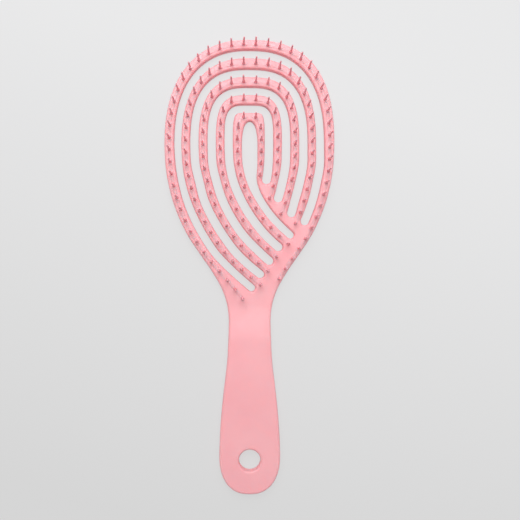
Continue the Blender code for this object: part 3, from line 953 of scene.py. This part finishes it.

# %% [markdown]
# The floor has to look pale inside the narrow slots as well, where little light reaches.  More
# light would bleach the brush.  So most of what the camera sees of the floor is a glow, and the
# rest is paint, which takes the brush's shadow.  The glow is a little paler towards the crown,
# and that grading is a painted fall of light.  Only the camera, gloss and clear things see the
# glow, so it hardly lights the brush.

# %% Make the floor look pale
FLOOR_PAINT = (0.74, 0.74, 0.745, 1)
SWEEP_TURN = math.radians(18)
SWEEP_FROM = -0.14
SWEEP_TO = 0.10
# Dim to pale across the floor is painted light: a fall of light that is paler towards the crown.
PAINTED_LIGHT_DIM = (0.67, 0.67, 0.67, 1)
PAINTED_LIGHT_PALE = (0.81, 0.81, 0.815, 1)
GLOW_SHARE = 0.86


def pale_ray(tree):
    """1 for rays that see the background: from the camera, in gloss or through clear things."""
    rays = tree.nodes.new("ShaderNodeLightPath")
    camera_or_gloss = tree.nodes.new("ShaderNodeMath")
    camera_or_gloss.operation = "MAXIMUM"
    any_of_three = tree.nodes.new("ShaderNodeMath")
    any_of_three.operation = "MAXIMUM"
    node_link(tree, rays, "Is Camera Ray", camera_or_gloss, 0)
    node_link(tree, rays, "Is Glossy Ray", camera_or_gloss, 1)
    node_link(tree, camera_or_gloss, 0, any_of_three, 0)
    node_link(tree, rays, "Is Transmission Ray", any_of_three, 1)
    return any_of_three


def blend_in_pale(tree, share, plain, pale, output):
    """Blend a plain shader with a pale one by a share, and send the result out."""
    blend = tree.nodes.new("ShaderNodeMixShader")
    for socket, node in enumerate((share, plain, pale)):
        node_link(tree, node, 0, blend, socket)
    node_link(tree, blend, 0, tree.nodes[output], "Surface")


floor_material = bpy.data.materials.new("pale_floor")
floor_material.use_nodes = True
tree = floor_material.node_tree
paint = tree.nodes["Principled BSDF"]
paint.inputs["Base Color"].default_value = FLOOR_PAINT
paint.inputs["Roughness"].default_value = 0.9
paint.inputs["Specular IOR Level"].default_value = 0.1
glow = tree.nodes.new("ShaderNodeEmission")
place = tree.nodes.new("ShaderNodeTexCoord")
slant = tree.nodes.new("ShaderNodeMapping")
slant.inputs["Rotation"].default_value = (0, 0, SWEEP_TURN)
split = tree.nodes.new("ShaderNodeSeparateXYZ")
along = stretch(tree, SWEEP_FROM, SWEEP_TO)
# The glow's grading from dim to pale is a painted fall of light.
painted_light_ramp = two_tones(tree, PAINTED_LIGHT_DIM, PAINTED_LIGHT_PALE)
node_link(tree, place, "Object", slant, "Vector")
node_link(tree, slant, "Vector", split, "Vector")
node_link(tree, split, "Y", along, "Value")
node_link(tree, along, "Result", painted_light_ramp, "Fac")
node_link(tree, painted_light_ramp, "Color", glow, "Color")
share = tree.nodes.new("ShaderNodeMath")
share.operation = "MULTIPLY"
share.inputs[1].default_value = GLOW_SHARE
node_link(tree, pale_ray(tree), 0, share, 0)
blend_in_pale(tree, share, paint, glow, "Material Output")
floor_mesh.materials.append(floor_material)
print("floor:", floor_material.name, "glow share:", GLOW_SHARE, "nodes:", len(tree.nodes))

# %% [markdown]
# ## Room and lamps
#
# The light is soft.  Most of it comes from a wide lamp almost overhead, because in the picture the
# walls of the loops and the sides of the pins are darker than the faces.  A smaller, nearer lamp
# stands beyond the crown, where the rim is brightest.  More light from the room would fill the
# shade round the pins and flatten them, so the room lights weakly and only looks pale.

# %% Room and lamps
ROOM_LIGHT = (1.0, 0.99, 0.98, 1)
ROOM_STRENGTH = 0.32
ROOM_LOOK = (0.76, 0.76, 0.765, 1)

world = bpy.data.worlds.new("pale_room")
bpy.context.scene.world = world
world.use_nodes = True
tree = world.node_tree
room = tree.nodes["Background"]
room.inputs["Color"].default_value = ROOM_LIGHT
room.inputs["Strength"].default_value = ROOM_STRENGTH
look = tree.nodes.new("ShaderNodeBackground")
look.inputs["Color"].default_value = ROOM_LOOK
look.inputs["Strength"].default_value = 1.0
blend_in_pale(tree, pale_ray(tree), room, look, "World Output")


def soft_lamp(name, place, aim, size, power):
    lamp_data = bpy.data.lights.new(name, "AREA")
    lamp_data.shape = "SQUARE"
    lamp_data.size = size
    lamp_data.energy = power
    lamp = bpy.data.objects.new(name, lamp_data)
    lamp.location = place
    lamp.rotation_mode = "QUATERNION"
    lamp.rotation_quaternion = (Vector(aim) - Vector(place)).to_track_quat("-Z", "Y")
    put_in_scene(lamp)
    return lamp


lamps = [
    soft_lamp("wide_lamp_above", place=(-0.10, 0.50, 1.30), aim=(0, 0, 0), size=1.0, power=10.2),
    soft_lamp("near_lamp_at_crown", place=(0.0, 0.33, 0.42), aim=(0, 0.05, 0), size=0.45, power=1.35),
]
bpy.context.scene.view_settings.view_transform = "Standard"
print("lamps:", [lamp.name for lamp in lamps])
